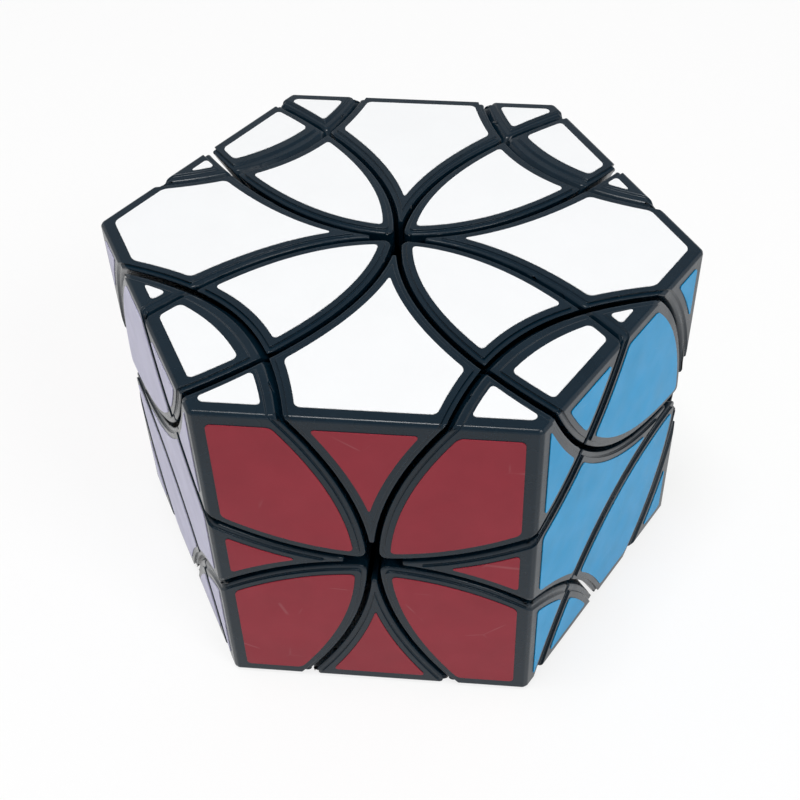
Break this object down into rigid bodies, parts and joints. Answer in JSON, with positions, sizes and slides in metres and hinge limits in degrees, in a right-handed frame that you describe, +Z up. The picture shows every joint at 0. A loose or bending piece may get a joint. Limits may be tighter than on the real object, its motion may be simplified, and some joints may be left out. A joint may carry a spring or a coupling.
{
  "type": "hexagonal prism twisty puzzle",
  "caption": "Hexagonal prism twisty puzzle whose conical cuts leave edge pieces, petals and corners that turn in layers about a central hub.",
  "frame": {"origin": "centre of the hub, where the twelve turning axes meet, which is the centre of the prism", "axes": "+X to the right through an upright ridge, +Y from front to back, +Z up through the hexagonal top face"},
  "size_m": [0.1034, 0.09, 0.065],
  "materials": {
    "black_plastic": "satin moulded black plastic",
    "hub_plastic": "matt dark grey moulded plastic",
    "screw_steel": "zinc-plated steel",
    "white_sticker": "white vinyl sticker, slight gloss",
    "red_sticker": "deep red vinyl sticker, slight gloss",
    "blue_sticker": "sky blue vinyl sticker, slight gloss",
    "lavender_sticker": "pale lavender vinyl sticker, slight gloss",
    "orange_sticker": "orange vinyl sticker, slight gloss",
    "green_sticker": "green vinyl sticker, slight gloss",
    "pink_sticker": "pink vinyl sticker, slight gloss",
    "yellow_sticker": "yellow vinyl sticker, slight gloss"
  },
  "bodies": {
    "body_band": {"axle_screws": "screw_steel", "edge_cap_back_left": "black_plastic", "edge_cap_back_right": "black_plastic", "edge_cap_front_left": "black_plastic", "edge_cap_front_right": "black_plastic", "edge_cap_left_bottom": "black_plastic", "edge_cap_left_top": "black_plastic", "edge_cap_right_bottom": "black_plastic", "edge_cap_right_top": "black_plastic", "edge_stem_back_left": "black_plastic", "edge_stem_back_right": "black_plastic", "edge_stem_front_left": "black_plastic", "edge_stem_front_right": "black_plastic", "edge_stem_left_bottom": "black_plastic", "edge_stem_left_top": "black_plastic", "edge_stem_right_bottom": "black_plastic", "edge_stem_right_top": "black_plastic", "hub": "hub_plastic", "petal_left_back_bottom": "black_plastic", "petal_left_back_top": "black_plastic", "petal_left_front_bottom": "black_plastic", "petal_left_front_top": "black_plastic", "petal_right_back_bottom": "black_plastic", "petal_right_back_top": "black_plastic", "petal_right_front_bottom": "black_plastic", "petal_right_front_top": "black_plastic"},
    "front_top_layer": {"corner_front_left_top": "black_plastic", "corner_front_right_top": "black_plastic", "edge_cap_front_top": "black_plastic", "edge_stem_front_top": "black_plastic", "petal_front_left_top": "black_plastic", "petal_front_right_top": "black_plastic", "petal_top_front_left": "black_plastic", "petal_top_front_right": "black_plastic"},
    "front_bottom_layer": {"corner_front_left_bottom": "black_plastic", "corner_front_right_bottom": "black_plastic", "edge_cap_front_bottom": "black_plastic", "edge_stem_front_bottom": "black_plastic", "petal_bottom_front_left": "black_plastic", "petal_bottom_front_right": "black_plastic", "petal_front_left_bottom": "black_plastic", "petal_front_right_bottom": "black_plastic"},
    "back_top_layer": {"corner_back_left_top": "black_plastic", "corner_back_right_top": "black_plastic", "edge_cap_back_top": "black_plastic", "edge_stem_back_top": "black_plastic", "petal_back_left_top": "black_plastic", "petal_back_right_top": "black_plastic", "petal_top_back_left": "black_plastic", "petal_top_back_right": "black_plastic"},
    "back_bottom_layer": {"corner_back_left_bottom": "black_plastic", "corner_back_right_bottom": "black_plastic", "edge_cap_back_bottom": "black_plastic", "edge_stem_back_bottom": "black_plastic", "petal_back_left_bottom": "black_plastic", "petal_back_right_bottom": "black_plastic", "petal_bottom_back_left": "black_plastic", "petal_bottom_back_right": "black_plastic"}
  },
  "joints": [
    {"name": "front_top_turn", "type": "hinge", "parent": "body_band", "child": "front_top_layer", "pos_m": [0, 0, 0], "axis": [0, -0.7071, 0.7071], "continuous": true},
    {"name": "front_bottom_turn", "type": "hinge", "parent": "body_band", "child": "front_bottom_layer", "pos_m": [0, 0, 0], "axis": [0, -0.7071, -0.7071], "continuous": true},
    {"name": "back_top_turn", "type": "hinge", "parent": "body_band", "child": "back_top_layer", "pos_m": [0, 0, 0], "axis": [0, 0.7071, 0.7071], "continuous": true},
    {"name": "back_bottom_turn", "type": "hinge", "parent": "body_band", "child": "back_bottom_layer", "pos_m": [0, 0, 0], "axis": [0, 0.7071, -0.7071], "continuous": true}
  ]
}
